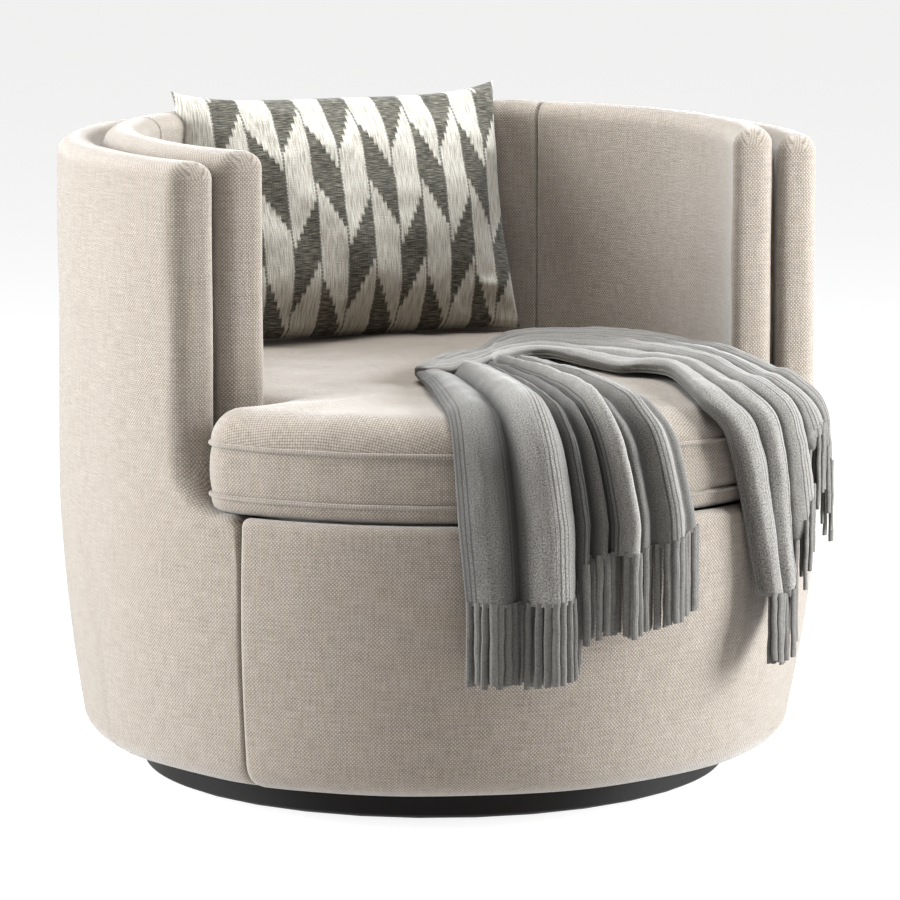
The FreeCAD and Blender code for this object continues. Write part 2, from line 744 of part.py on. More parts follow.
fringe_row(main_start_degrees, main_step_degrees, long_hang, fringe_length)
fringe_row(main_step_degrees, main_end_degrees, short_hang, fringe_length)
fringe_row(side_start_degrees, side_step_degrees, side_hang, fringe_length)
fringe_row(side_step_degrees, side_end_degrees, outer_hang, outer_fringe_length)
parts["throw_fringe"] = Part.makeCompound(fringe)

os.makedirs("parts", exist_ok=True)
for name, shape in parts.items():
    shape.exportStep("parts/" + name + ".step")
    print(name, "valid", shape.isValid(), "solids", len(shape.Solids), "volume", round(shape.Volume))
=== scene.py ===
"""Swivel barrel armchair: looks of its upholstery, cushion, pillow and throw, round the CAD frame."""
import math

import bpy
import numpy as np
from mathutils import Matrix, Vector, noise


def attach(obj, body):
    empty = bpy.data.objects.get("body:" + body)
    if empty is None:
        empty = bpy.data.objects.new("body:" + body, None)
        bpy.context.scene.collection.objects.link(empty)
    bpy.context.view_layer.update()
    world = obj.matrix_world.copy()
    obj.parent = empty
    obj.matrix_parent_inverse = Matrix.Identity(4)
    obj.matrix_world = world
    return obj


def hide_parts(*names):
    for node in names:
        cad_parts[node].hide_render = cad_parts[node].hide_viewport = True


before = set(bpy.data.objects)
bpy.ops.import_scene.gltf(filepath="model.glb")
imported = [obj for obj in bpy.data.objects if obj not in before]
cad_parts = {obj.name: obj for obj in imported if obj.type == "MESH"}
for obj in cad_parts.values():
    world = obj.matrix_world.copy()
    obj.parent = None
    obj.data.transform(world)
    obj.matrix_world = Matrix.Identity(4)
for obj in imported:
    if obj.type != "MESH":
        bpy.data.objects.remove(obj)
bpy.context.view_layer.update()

# ---------------- plinth and hidden timber
# The round plinth is satin black painted board, 680 mm across and 26 mm thick, on a felt ring. The frame
# above it is plywood and sawn posts behind the upholstery, with elastic webbing, a deck pad and a dust cover.


class Finish:
    """A material built up node by node, in the object's own coordinates."""

    def __init__(self, name, roughness, **sockets):
        self.material = bpy.data.materials.new(name)
        self.material.use_nodes = True
        self.tree = self.material.node_tree
        self.surface = self.tree.nodes["Principled BSDF"]
        self.surface.inputs["Roughness"].default_value = roughness
        for socket, value in sockets.items():
            self.surface.inputs[socket.replace("_", " ")].default_value = value

    def add(self, kind, inputs=(), **settings):
        """One node: inputs are pairs of socket and value, and a value may be another node's output."""
        node = self.tree.nodes.new("ShaderNode" + kind)
        for setting, value in settings.items():
            setattr(node, setting, value)
        for socket, value in inputs:
            self.put(node, socket, value)
        return node.outputs[0]

    def put(self, node, socket, value):
        """Gives a socket a fixed value or joins it to an output."""
        if isinstance(value, bpy.types.NodeSocket):
            self.tree.links.new(value, node.inputs[socket])
        else:
            node.inputs[socket].default_value = value

    def maths(self, operation, *values):
        """One arithmetic node."""
        return self.add("Math", list(enumerate(values)), operation=operation)

    def mix(self, share, first, second, blend="MIX"):
        """Two colours mixed by a share."""
        node = self.tree.nodes.new("ShaderNodeMix")
        node.data_type, node.blend_type = "RGBA", blend
        for socket, value in ((0, share), (6, first), (7, second)):
            self.put(node, socket, value)
        return node.outputs[2]

    def speckle(self, scale, detail=3.0, vector=None):
        """Soft random pattern, of so many blobs per metre."""
        where = vector or self.add("TexCoord").node.outputs["Object"]
        return self.add("TexNoise", [("Vector", where), ("Scale", scale), ("Detail", detail)])

    def finish(self, colour, height=None, distance=0.001, strength=1.0):
        """Puts the colour and the relief on the surface."""
        self.put(self.surface, "Base Color", colour)
        if height is not None:
            bump = self.add("Bump", [("Height", height), ("Distance", distance), ("Strength", strength)])
            self.put(self.surface, "Normal", bump)
        return self.material


def plain_finish(name, colour, roughness, scale, depth=0.12, **sockets):
    """A nearly even finish with a soft mottle and a fine relief."""
    made = Finish(name, roughness, **sockets)
    mottle = made.speckle(scale)
    dark = [c * (1 - depth) for c in colour] + [1]
    light = [min(1, c * (1 + depth)) for c in colour] + [1]
    return made.finish(made.mix(mottle, dark, light), made.speckle(scale * 12), 0.0004, 0.5)


black_board = plain_finish("Satin black paint", (0.0055, 0.0045, 0.0040), 0.5, 30, 0.25,
                           Specular_IOR_Level=0.14)
timber = Finish("Sawn timber", 0.7)
stretched = timber.add("Mapping", [("Vector", timber.add("TexCoord").node.outputs["Object"]),
                                   ("Scale", (40, 40, 3))])
grain = timber.speckle(4, 6, stretched)
timber = timber.finish(timber.mix(grain, (0.42, 0.28, 0.15, 1), (0.68, 0.52, 0.34, 1)), grain, 0.0005)
steel = plain_finish("Zinc-plated steel", (0.55, 0.55, 0.56), 0.32, 80, Metallic=1.0)
balls = plain_finish("Polished steel", (0.75, 0.75, 0.76), 0.12, 40, 0.04, Metallic=1.0)
felt = plain_finish("Grey felt", (0.12, 0.12, 0.12), 0.95, 300, 0.3)
nylon = plain_finish("Black nylon", (0.05, 0.05, 0.05), 0.45, 200)
webbing = plain_finish("Elastic webbing", (0.35, 0.30, 0.25), 0.85, 250, 0.25)
dust_cloth = plain_finish("Black dust cloth", (0.03, 0.03, 0.03), 0.9, 400, 0.3)
deck_cloth = plain_finish("Deck cloth", (0.58, 0.53, 0.47), 0.9, 300, 0.1)
for finish, nodes in ((black_board, "plinth"), (felt, "floor_ring"), (balls, "swivel_balls"),
                      (steel, "swivel_lower_plate swivel_upper_plate lower_plate_screws upper_plate_screws"),
                      (timber, "bottom_board frame_posts infill_boards seat_ring back_shell_board"),
                      (webbing, "webbing_lengthwise webbing_crosswise"), (nylon, "cushion_zip"),
                      (dust_cloth, "dust_cover"), (deck_cloth, "deck_pad")):
    for node in nodes.split():
        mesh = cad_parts[node].data
        mesh.materials.clear()
        mesh.materials.append(finish)

# ---------------- outer wrap
# One padded skin round the sides and back, of oatmeal linen over wadding. It stands 733 mm high with a
# rounded rim and rounded arm ends, tapers below the seat, and turns under the bottom board, where it is
# stapled. Beside the seat it is 48 mm thick. The plan is two half circles with their centres 40 mm apart.

body_radius, stretch_back, stretch_front, foot_stretch = 0.432, 0.010, 0.030, 0.006
quarter, straight = math.pi / 2 * body_radius, stretch_back + stretch_front
hem_level, corner_level, upright_level, ledge_level, rim_level = -0.0237, 0.071, 0.340, 0.350, 0.733
side_taper, corner_width, corner_height, corner_pace = 0.0225, 0.0415, 0.035, 0.038
hem_thickness, skin_thickness, wrap_thickness = 0.004, 0.020, 0.048
seam_place, arm_place, arm_hollow, arm_square = 0.9735, 0.8933, 0.055, 0.452
weave_pitch, slub_drift = 0.0044, 0.0006

linen = Finish("Oatmeal linen", 0.92, Sheen_Weight=0.5, Sheen_Roughness=0.35)
cloth = linen.add("UVMap", uv_map="cloth")
wander = linen.mix(slub_drift, cloth, linen.speckle(90, 2).node.outputs["Color"], "ADD")
across = linen.add("SeparateXYZ", [("Vector", wander)]).node
turns = 2 * math.pi / weave_pitch
waves = [linen.maths("SINE", linen.maths("MULTIPLY", across.outputs[axis], turns)) for axis in "XY"]
basket = linen.maths("MULTIPLY", *waves)
yarns = []
for stretch in ((1500, 150, 1), (150, 1500, 1)):
    mapped = linen.add("Mapping", [("Vector", cloth), ("Scale", stretch)])
    yarns.append(linen.speckle(0.25, 2, mapped))
streaks = linen.maths("ADD", *yarns)
slub = linen.speckle(700, 2, cloth)
tone = linen.maths("ADD", linen.maths("MULTIPLY", basket, 0.34), linen.maths("MULTIPLY", streaks, 0.45))
tone = linen.maths("SUBTRACT", linen.maths("ADD", tone, linen.maths("MULTIPLY", slub, 0.75)), 0.33)
gaps = linen.maths("MAXIMUM", *[linen.maths("ABSOLUTE", wave) for wave in waves])
open_weave = linen.maths("MULTIPLY", linen.maths("LESS_THAN", gaps, 0.53), linen.maths("ADD", slub, 0.15))
shade = linen.mix(tone, (0.105, 0.077, 0.055, 1), (0.400, 0.348, 0.294, 1))
shade = linen.mix(open_weave, shade, (0.050, 0.034, 0.023, 1))
relief = linen.maths("ADD", linen.maths("MINIMUM", gaps, 0.8), linen.maths("MULTIPLY", slub, 1.2))
linen = linen.finish(shade, relief, 0.0007, 0.8)


def oval(along, radius, lean=1.0):
    """Plan point on the chair's oval: along runs from the middle of the back, as measured on its outside."""
    size = np.abs(along)
    turned = (np.clip(size, 0, quarter) + np.clip(size - quarter - straight, 0, None)) / body_radius
    forward = np.clip(size - quarter, 0, straight) / straight
    back = foot_stretch + (stretch_back - foot_stretch) * lean
    front = foot_stretch + (stretch_front - foot_stretch) * lean
    y = radius * np.cos(turned) + back * (1 - forward) - front * forward
    return np.sign(along) * radius * np.sin(turned), y


def edged(low, high, low_round, high_round, count):
    """Places along a line, close together over its two rounded edges, and how far up an edge each is."""
    cosines = np.cos(np.linspace(0, math.pi / 2, 8)[:-1])
    middle = np.linspace(low + low_round, high - high_round, count)
    places = [low + low_round * (1 - cosines), middle, (high - high_round * (1 - cosines))[::-1]]
    return np.concatenate(places), np.concatenate([-cosines, 0 * middle, cosines[::-1]])


def uneven(points, amount, size):
    """Soft hand-made unevenness: a small random offset for each point."""
    return np.array([noise.noise(Vector(p) / size) for p in points.reshape(-1, 3)]) * amount


def new_mesh(name, points, faces, coordinates, material, rim=None):
    """A closed mesh with its cloth coordinates in metres, smooth, its faces outward.

    rim is the first face of a strip that joins two faces, and the coordinates on the strip's far side.
    """
    mesh = bpy.data.meshes.new(name)
    mesh.from_pydata(points.tolist(), [], faces)
    layer = mesh.uv_layers.new(name="cloth")
    corners = np.zeros(len(mesh.loops), int)
    mesh.loops.foreach_get("vertex_index", corners)
    placed = coordinates[corners]
    if rim:
        start = mesh.polygons[rim[0]].loop_start
        far = corners[start:] >= len(rim[1])
        placed[start:][far] = rim[1][corners[start:][far] - len(rim[1])]
    layer.data.foreach_set("uv", placed.astype(np.float32).ravel())
    mesh.materials.append(material)
    made = bpy.data.objects.new(name, mesh)
    bpy.context.scene.collection.objects.link(made)
    bpy.ops.object.select_all(action="DESELECT")
    made.select_set(True)
    bpy.context.view_layer.objects.active = made
    bpy.ops.object.mode_set(mode="EDIT")
    bpy.ops.mesh.select_all(action="SELECT")
    bpy.ops.mesh.normals_make_consistent(inside=False)
    bpy.ops.object.mode_set(mode="OBJECT")
    mesh.shade_smooth()
    return made


def quads(rows, columns, first=0, flip=False, closed=False):
    """Faces of a grid of points."""
    across = columns if closed else columns - 1
    faces = []
    for row in range(rows - 1):
        for column in range(across):
            right = (column + 1) % columns
            face = [first + row * columns + column, first + row * columns + right,
                    first + (row + 1) * columns + right, first + (row + 1) * columns + column]
            faces.append(face[::-1] if flip else face)
    return faces


def slab(name, place, outline, heights, rounds, columns, material, bumps):
    """A padded skin: two faces that meet over rounded edges.

    place(along, height, share) gives points from the inner face at share 0 to the outer one at 1.
    outline(height) gives the two ends' (along, height), outward direction, rounding depth and share.
    heights are (bottom, top) and rounds their (depth, share) pairs; bumps are (amount, size).
    """
    places, sides = edged(-1, 1, 0, 0, columns)
    levels, ups = edged(heights[0], heights[1], rounds[0][0], rounds[1][0],
                        max(8, round((heights[1] - heights[0]) / 0.011)))
    cores = np.clip(levels, heights[0] + rounds[0][0], heights[1] - rounds[1][0])
    along, height, full, lift, spread, climb = np.zeros((6, len(levels), len(places)))
    for row, (core, up) in enumerate(zip(cores, ups)):
        ends = outline(core)
        depth_up, share_up = rounds[0] if up < 0 else rounds[1]
        cored = [(a - n * d, h - m * d) for (a, h), (n, m), d, _ in ends]
        side, rise = np.abs(sides), abs(up)
        turned = side * math.sqrt(1 - rise ** 2 / 2)
        raised = rise * np.sqrt(1 - side ** 2 / 2)
        for number, ((a, h), (n, m), depth, share_side) in enumerate(ends):
            here = (sides < 0) if number == 0 else (sides > 0)
            along[row, here] = cored[number][0] + n * depth * turned[here]
            height[row, here] = cored[number][1] + m * depth * turned[here]
            bent = np.arcsin(turned[here]) * 1.2 - turned[here]
            spread[row, here], climb[row, here] = n * depth * bent, m * depth * bent
            weight = side[here] ** 2 + rise ** 2
            full[row, here] = (side[here] ** 2 * share_side + rise ** 2 * share_up) / weight
        flat = sides == 0
        share = (places[flat] + 1) / 2
        along[row, flat] = cored[0][0] + (cored[1][0] - cored[0][0]) * share
        pull = [h - core for _, h in cored]
        height[row, flat] = core + pull[0] * (1 - share) ** 12 + pull[1] * share ** 12
        full[row, flat] = share_up if rise else 0
        if rise:
            height[row] += math.copysign(depth_up, up) * raised
            climb[row] += math.copysign(depth_up, up) * (np.arcsin(raised) * 1.2 - raised)
        lift[row] = full[row] * (1 - np.sqrt(np.clip(1 - turned ** 2 - raised ** 2, 0, 1)))
    rows, across = along.shape
    faces_at = []
    for share in (1 - lift, lift):
        faces_at.append(np.stack(place(along, height, share), -1).reshape(-1, 3))
    outward = faces_at[0] - faces_at[1]
    outward /= np.linalg.norm(outward, axis=1, keepdims=True)
    inner = (lift < 1e-6).ravel()[:, None]
    bump = uneven(faces_at[0], *bumps)[:, None] * outward * (0.3 + 0.7 * inner)
    points = np.concatenate([faces_at[0] + bump, faces_at[1] + bump])
    count = rows * across
    faces = quads(rows, across) + quads(rows, across, count, True)
    rim = list(range(across))
    rim += [row * across + across - 1 for row in range(1, rows)]
    rim += [(rows - 1) * across + column for column in range(across - 2, -1, -1)]
    rim += [row * across for row in range(rows - 2, 0, -1)]
    for here, after in zip(rim, rim[1:] + rim[:1]):
        faces.append([here, here + count, after + count, after])
    outward = np.stack([spread, climb], -1).reshape(-1, 2)
    cloth = np.stack([along, height], -1).reshape(-1, 2) + outward
    outward /= np.maximum(np.linalg.norm(outward, axis=1, keepdims=True), 1e-9)
    apart = np.linalg.norm(faces_at[0] - faces_at[1], axis=1, keepdims=True)
    return new_mesh(name, points, faces, np.concatenate([cloth, cloth]), material,
                    (len(faces) - len(rim), cloth + outward * apart))


def body_side(height, proud=0.0):
    """Radius, height and lean of the body's outer side: upright, then tapered, then turned under."""
    taper = np.clip((upright_level - height) / (upright_level - corner_level), 0, 1)
    turn = np.clip((corner_level - height) / corner_pace, 0, math.pi / 2)
    under = np.clip(corner_level - corner_pace * math.pi / 2 - height, 0, None)
    radius = body_radius + proud - side_taper * taper ** 2 - corner_width * (1 - np.cos(turn)) - under
    level = np.where(height > corner_level, height, corner_level - corner_height * np.sin(turn))
    return radius, level + under * 0.05, 1 - taper, turn


def thinned(thickness, turn):
    """A skin's thickness, thinner where it turns under towards its hem."""
    return thickness - (skin_thickness - hem_thickness) * np.clip(turn * 2 / math.pi, 0, 1)


def arm_share(along, height=rim_level):
    """How much of the arms' square cut is felt at a place: none at the back and below the ledge."""
    return np.clip((np.abs(along) - 0.70) / 0.12, 0, 1) * np.clip((height - 0.30) / 0.09, 0, 1)


def wrap_place(along, height, share):
    """Point in the wrap's thickness; by the arm ends the skin is cut square across the chair."""
    radius, level, lean, turn = body_side(height)
    thick = skin_thickness + (wrap_thickness - skin_thickness) * np.clip((height - 0.25) / 0.095, 0, 1)
    inward = (1 - share) * thinned(thick, turn)
    radius = radius - inward * np.cos(turn)
    level = level + inward * np.sin(turn)
    middle_radius = body_radius - wrap_thickness / 2
    size = np.abs(along) - arm_square * (radius - middle_radius) * arm_share(along, height)
    return *oval(np.sign(along) * size, radius, lean), level


def wrap_outline(height):
    """Front end of the wrap: the panel seam, the ledge under the cushion, a hollow, then the arm end."""
    corner, corner_end, ledge_end, hollow_end = 0.300, 0.312, 0.330, 0.400
    size, edge, arm_edge, flat, full = corner_end - corner, 0.009, 0.015, 0.30, 0.36
    if height < corner:
        point, outward, depth, share = (seam_place, height), (1, 0), 0.006, flat
    elif height < corner_end:
        turn = (height - corner) / size * math.pi / 2
        point = (seam_place - size * (1 - math.cos(turn)), ledge_level - size * (1 - math.sin(turn)))
        outward, depth, share = (math.cos(turn), math.sin(turn)), 0.006 + 0.002 * turn, flat
    elif height < ledge_end:
        part = (height - corner_end) / (ledge_end - corner_end)
        start = seam_place - size
        point = (start + (arm_place + arm_hollow - start) * part, ledge_level)
        outward, depth, share = (0, 1), edge, flat
    elif height < hollow_end:
        part = (height - ledge_end) / (hollow_end - ledge_end)
        turn = part * math.pi / 2
        point = (arm_place + arm_hollow * (1 - math.sin(turn)),
                 ledge_level + arm_hollow * (1 - math.cos(turn)))
        outward = (math.sin(turn), math.cos(turn))
        depth, share = edge + (arm_edge - edge) * part, flat + (full - flat) * part
    else:
        part = (height - hollow_end) / (rim_level - hollow_end)
        low = ledge_level + arm_hollow
        point, outward, depth, share = (arm_place, low + part * (rim_level - low)), (1, 0), arm_edge, full
    (a, h), (n, m) = point, outward
    return ((-a, h), (-n, m), depth, share), (point, outward, depth, share)


outer_wrap = slab("Outer_wrap", wrap_place, wrap_outline, (hem_level, rim_level),
                  ((0.001, 0.2), (0.020, 0.46)), 230, linen, (0.0016, 0.11))
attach(outer_wrap, "upper")
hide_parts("outer_wrap")

# ---------------- front panel
# The curved panel below the seat, between two upright seams at the front. Linen over wadding, 4 mm prouder
# than the wrap beside it, turned under the bottom board and over the seat ring.

panel_proud, panel_half, front_middle = 0.004, 0.4233, 1.3972


def panel_place(along, height, share):
    """Point in the front panel's thickness; along runs from the middle of the front."""
    radius, level, lean, turn = body_side(height, panel_proud)
    inward = (1 - share) * thinned(skin_thickness, turn)
    place = oval(front_middle - along, radius - inward * np.cos(turn), lean)
    return *place, level + inward * np.sin(turn)


def panel_outline(height):
    """The two seams, close beside the wrap's own edges."""
    return ((-panel_half, height), (-1, 0), 0.009, 0.48), ((panel_half, height), (1, 0), 0.009, 0.48)


front_panel = slab("Front_panel", panel_place, panel_outline, (hem_level, ledge_level),
                   ((0.001, 0.2), (0.010, 0.46)), 110, linen, (0.0014, 0.10))
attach(front_panel, "upper")
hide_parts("front_panel")

# ---------------- inner pads
# Three padded pieces line the well, with upright seams 48 degrees either side of the back's middle. They are
# 47 mm thick, stand 743 mm high, 10 mm above the wrap, and their front ends are rounded like the arm ends.

pad_radius, pad_thickness = 0.331, 0.047
pad_foot, pad_top, pad_square = 0.3305, 0.743, 0.62
pad_seam, pad_end, pad_gap = math.radians(48) * body_radius, 0.92195, 0.0003


def pad_place(along, height, share):
    """Point in an inner pad's thickness."""
    radius = pad_radius + pad_thickness * share
    size = np.abs(along) - pad_square * pad_thickness * (share - 0.5) * arm_share(along)
    return *oval(np.sign(along) * size, radius), height


def pad_piece(name, node, low, high):
    """One inner pad between two places along the plan; an end past the seams is an arm end."""
    def outline(height):
        ends = []
        for place, way in ((low, -1), (high, 1)):
            free = abs(place) > 0.5
            ends.append(((place, height), (way, 0), 0.015 if free else 0.005, 0.36 if free else 0.12))
        return ends

    made = slab(name, pad_place, outline, (pad_foot, pad_top), ((0.002, 0.1), (0.020, 0.46)),
                round(abs(high - low) / 0.008), linen, (0.0018, 0.10))
    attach(made, "upper")
    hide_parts(node)


pad_piece("Inner_pad_back", "inner_pad_back", -pad_seam + pad_gap, pad_seam - pad_gap)
pad_piece("Inner_pad_left", "inner_pad_left", -pad_end, -pad_seam - pad_gap)
pad_piece("Inner_pad_right", "inner_pad_right", pad_seam + pad_gap, pad_end)

# ---------------- seat cushion
# A loose foam cushion in linen, 120 mm thick, that fills the well and spreads in rounded ears in front of
# the arm ends. A 57 mm border stands between two welted seams, and the crown above is full and soft. Its
# outline is taken from the frame's own cushion, at the upper seam.

upper_seam, lower_seam, cushion_foot, seam_points = 0.427, 0.370, 0.3515, 560
shoulder_width, shoulder_rise, crown_rise, crown_reach = 0.036, 0.033, 0.016, 0.085
border_rings = ((0.060, cushion_foot), (0.016, 0.3505), (0.009, 0.3516), (0.004, 0.3555), (0.0014, 0.3620),
                (0.0008, lower_seam), (0.0022, 0.3730), (0.0008, 0.3790), (-0.0004, 0.3870),
                (-0.0008, 0.3985), (-0.0004, 0.4100), (0.0008, 0.4180), (0.0022, 0.4240))
crown_level = upper_seam + 0.0005

seat_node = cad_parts["seat_cushion"].data
seam = np.array([v.co for v in seat_node.vertices if abs(v.co.z - upper_seam) < 0.0002])[:, :2]
middle = np.array([0, -0.25])
seam = seam[np.argsort(np.arctan2(*(seam - middle).T[::-1]))]
seam = np.roll(seam, -np.argmax(seam[:, 1]), 0)
steps = np.linalg.norm(np.roll(seam, -1, 0) - seam, axis=1)
seam, steps = seam[steps > 1e-5], steps[steps > 1e-5]
reached = np.concatenate([[0], np.cumsum(steps)])
even = np.linspace(0, reached[-1], seam_points, endpoint=False)
seam = np.stack([np.interp(even, reached, np.append(seam[:, k], seam[0, k])) for k in (0, 1)], -1)
for _ in range(6):
    seam = seam * 0.5 + (np.roll(seam, 1, 0) + np.roll(seam, -1, 0)) * 0.25


def drawn_in(inset):
    """The cushion's outline, moved in by an inset."""
    way = np.roll(seam, -1, 0) - np.roll(seam, 1, 0)
    way /= np.linalg.norm(way, axis=1, keepdims=True)
    return seam - inset * np.stack([way[:, 1], -way[:, 0]], -1)


def away(points):
    """Distance of each plan point from the cushion's outline."""
    return np.array([np.sqrt(((seam - p) ** 2).sum(1)).min() for p in points])


def crown_height(distance):
    """Height of the cushion's top, by distance from the outline."""
    edge = np.clip(distance / shoulder_width, 0, 1)
    shoulder = shoulder_rise * np.sqrt(1 - (1 - edge) ** 2)
    return upper_seam + shoulder + crown_rise * (1 - np.exp(-distance / crown_reach))


seam = drawn_in(0.002)
rings = []
for inset, level in border_rings:
    rings.append(np.column_stack([drawn_in(inset), np.full(len(seam), level)]))
insets = shoulder_width * (1 - np.cos(np.linspace(0.02, 1, 12) * math.pi / 2 * 0.72))
slopes = np.hypot(np.diff(insets), np.diff(crown_height(insets)))
unrolled_insets = insets[-1] - np.append(np.cumsum(slopes[::-1])[::-1], 0)
crown_cloth = []
for inset, unrolled_inset in zip(insets, unrolled_insets):
    rings.append(np.column_stack([drawn_in(inset + 0.0004), crown_height(np.full(len(seam), inset))]))
    crown_cloth.append(drawn_in(unrolled_inset))
last = rings[-1][:, :2]
for part in np.linspace(0, 1, 46)[1:-1]:
    flat = last + (middle - last) * part
    rings.append(np.column_stack([flat, crown_height(away(flat))]))
points = np.concatenate(rings)
soft = uneven(points, 0.0042, 0.16) + uneven(points + 3.1, 0.0016, 0.045)
points[:, 2] += soft * np.clip((points[:, 2] - crown_level) / 0.02, 0, 1)
count, start = len(seam), len(points)
points = np.vstack([points, [*middle, cushion_foot], [*middle, crown_height(away([middle]))[0]]])
faces = quads(len(rings), count, closed=True)
for column in range(count):
    after = (column + 1) % count
    faces.append([start, after, column])
    faces.append([start + 1, start - count + column, start - count + after])
lengths = np.tile(even, len(rings))
levels = np.repeat([ring[0, 2] for ring in rings], count)
border = (levels < crown_level) & (points[:start, 2] > cushion_foot + 0.0005)
coordinates = points[:, :2].copy()
coordinates[:start][border] = np.column_stack([lengths[border], levels[border]])
crown_start = len(border_rings) * count
coordinates[crown_start:crown_start + len(insets) * count] = np.concatenate(crown_cloth)
seat_cushion = new_mesh("Seat_cushion", points, faces, coordinates, linen)
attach(seat_cushion, "cushion")
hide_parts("seat_cushion")

# ---------------- cushion welts
# Piping cord covered in bias-cut linen, 5 mm thick, sewn into both seams of the cushion's border.

welt_reach, welt_radius, welt_sides = 0.0024, 0.0026, 10


def welt(name, node, level):
    """One cord that follows the cushion's outline at a level."""
    rings = []
    for turn in np.linspace(0, 2 * math.pi, welt_sides, endpoint=False):
        wave = 0.0002 * np.sin(even * 60 + level * 90)
        rings.append(np.column_stack([drawn_in(0.0003 - welt_reach * math.cos(turn)),
                                      level + welt_radius * math.sin(turn) + wave]))
    points = np.concatenate(rings)
    faces = []
    for face in quads(welt_sides + 1, len(seam), closed=True):
        faces.append([corner % len(points) for corner in face])
    along, around = np.tile(even, welt_sides), np.repeat(np.arange(welt_sides) * 0.0017, len(seam))
    coordinates = np.column_stack([along + around, along - around]) / math.sqrt(2)
    made = new_mesh(name, points, faces, coordinates, linen)
    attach(made, "cushion")
    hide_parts(node)


welt("Cushion_welt_upper", "cushion_welt_upper", upper_seam)
welt("Cushion_welt_lower", "cushion_welt_lower", lower_seam)

# ---------------- pillow
# A lumbar pillow, 413 by 306 mm, of slubby cream cloth woven with columns of dark olive leaves. It is sewn
# round its edge with no welt and filled softly, so that the corners stay pointed and the edges draw in.

column_width, leaf_period, leaf_side, leaf_slant, weft_step = 0.0345, 0.193, 0.074, 0.064, 0.143
stitch_pitch, line_share = 0.0046, 0.462
half_deep, side_draw, top_draw, foot_draw, full_depth = 0.042, 0.065, 0.13, 0.05, 0.96

leafy = Finish("Leaf-patterned cloth", 0.9, Sheen_Weight=0.1)
place = leafy.add("UVMap", uv_map="cloth")
flutter = leafy.mix(0.0026, place, leafy.speckle(260, 2, place).node.outputs["Color"], "ADD")
split = leafy.add("SeparateXYZ", [("Vector", flutter)]).node.outputs
column = leafy.maths("DIVIDE", split["X"], column_width)
odd = leafy.maths("FLOORED_MODULO", leafy.maths("FLOOR", column), 2)
inside = leafy.maths("FRACT", column)
over = leafy.maths("ABSOLUTE", leafy.maths("SUBTRACT", leafy.maths("SUBTRACT", 1, odd), inside))
notched = leafy.maths("SNAP", over, weft_step)
shift = leafy.maths("ADD", leafy.maths("DIVIDE", split["Y"], leaf_period), leafy.maths("MULTIPLY", odd, 0.5))
along_leaf = leafy.maths("MULTIPLY", leafy.maths("FRACT", leafy.maths("ADD", shift, 0.36)), leaf_period)
slant = leafy.maths("MULTIPLY", notched, leaf_slant)
above = leafy.maths("SMOOTH_MIN", leafy.maths("SUBTRACT", along_leaf, slant),
                    leafy.maths("SUBTRACT", leafy.maths("ADD", slant, leaf_side), along_leaf), 0.002)
leaf = leafy.add("MapRange", [("Value", above), ("From Min", -0.0022), ("From Max", 0.0022)])
wefts = leafy.add("Mapping", [("Vector", place), ("Scale", (90, 900, 1))])
weft = leafy.speckle(0.9, 3, wefts)
warps = leafy.add("Mapping", [("Vector", place), ("Scale", (850, 55, 1))])
warp = leafy.speckle(0.9, 3, warps)
dark = leafy.mix(leafy.add("MapRange", [("Value", weft), ("From Min", 0.44), ("From Max", 0.66)]),
                 (0.022, 0.020, 0.013, 1), (0.145, 0.130, 0.098, 1))
cream = leafy.mix(leafy.add("MapRange", [("Value", warp), ("From Min", 0.36), ("From Max", 0.60)]),
                  (0.25, 0.230, 0.188, 1), (0.47, 0.442, 0.388, 1))
base = leafy.mix(leaf, cream, dark)
stitch = leafy.maths("SINE", leafy.maths("MULTIPLY", split["Y"], 2 * math.pi / stitch_pitch))
beside = leafy.maths("ABSOLUTE", leafy.maths("SUBTRACT", inside, 0.5))
line = leafy.maths("MULTIPLY", leafy.maths("GREATER_THAN", beside, line_share),
                   leafy.add("MapRange", [("Value", stitch), ("From Min", -1.3), ("From Max", -0.3)]))
base = leafy.mix(leafy.maths("MULTIPLY", line, 0.85), base, (0.06, 0.055, 0.045, 1))
leafy = leafy.finish(base, leafy.maths("ADD", warp, weft), 0.0008, 0.8)

solid = np.array([v.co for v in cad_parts["pillow"].data.vertices])
corners = np.array([[(-0.2065, 0.208, 0.4725), (0.2085, 0.196, 0.4725)],
                    [(-0.2080, 0.296, 0.7680), (0.2130, 0.285, 0.7680)]])
upward = corners[1].mean(0) - corners[0].mean(0)
half_wide, half_tall = 0.207, np.linalg.norm(upward) / 2
facing = np.cross((1, 0, 0), upward / np.linalg.norm(upward))
depths = (solid - corners.mean((0, 1))) @ facing


def inflate(made, pressure, frames, cap):
    """Blows a closed cloth up gently, and keeps each point within a cap of where it began."""
    began = np.array([v.co for v in made.data.vertices])
    cloth = made.modifiers.new("Cloth", "CLOTH")
    cloth.settings.quality = 8
    cloth.settings.mass = 0.25
    cloth.settings.tension_stiffness = cloth.settings.compression_stiffness = 25
    cloth.settings.shear_stiffness, cloth.settings.bending_stiffness = 6, 0.35
    cloth.settings.use_pressure, cloth.settings.uniform_pressure_force = True, pressure
    cloth.settings.effector_weights.gravity = 0
    cloth.collision_settings.use_collision = False
    cloth.point_cache.frame_start, cloth.point_cache.frame_end = 1, frames
    for number in range(1, frames + 1):
        bpy.context.scene.frame_set(number)
    settled = made.evaluated_get(bpy.context.evaluated_depsgraph_get())
    ended = np.array([v.co for v in settled.data.vertices])
    made.modifiers.remove(cloth)
    bpy.context.scene.frame_set(1)
    moved = ended - began
    far = np.linalg.norm(moved, axis=1, keepdims=True)
    moved *= np.minimum(1, cap / np.maximum(far, 1e-9))
    made.data.vertices.foreach_set("co", (began + moved).astype(np.float32).ravel())


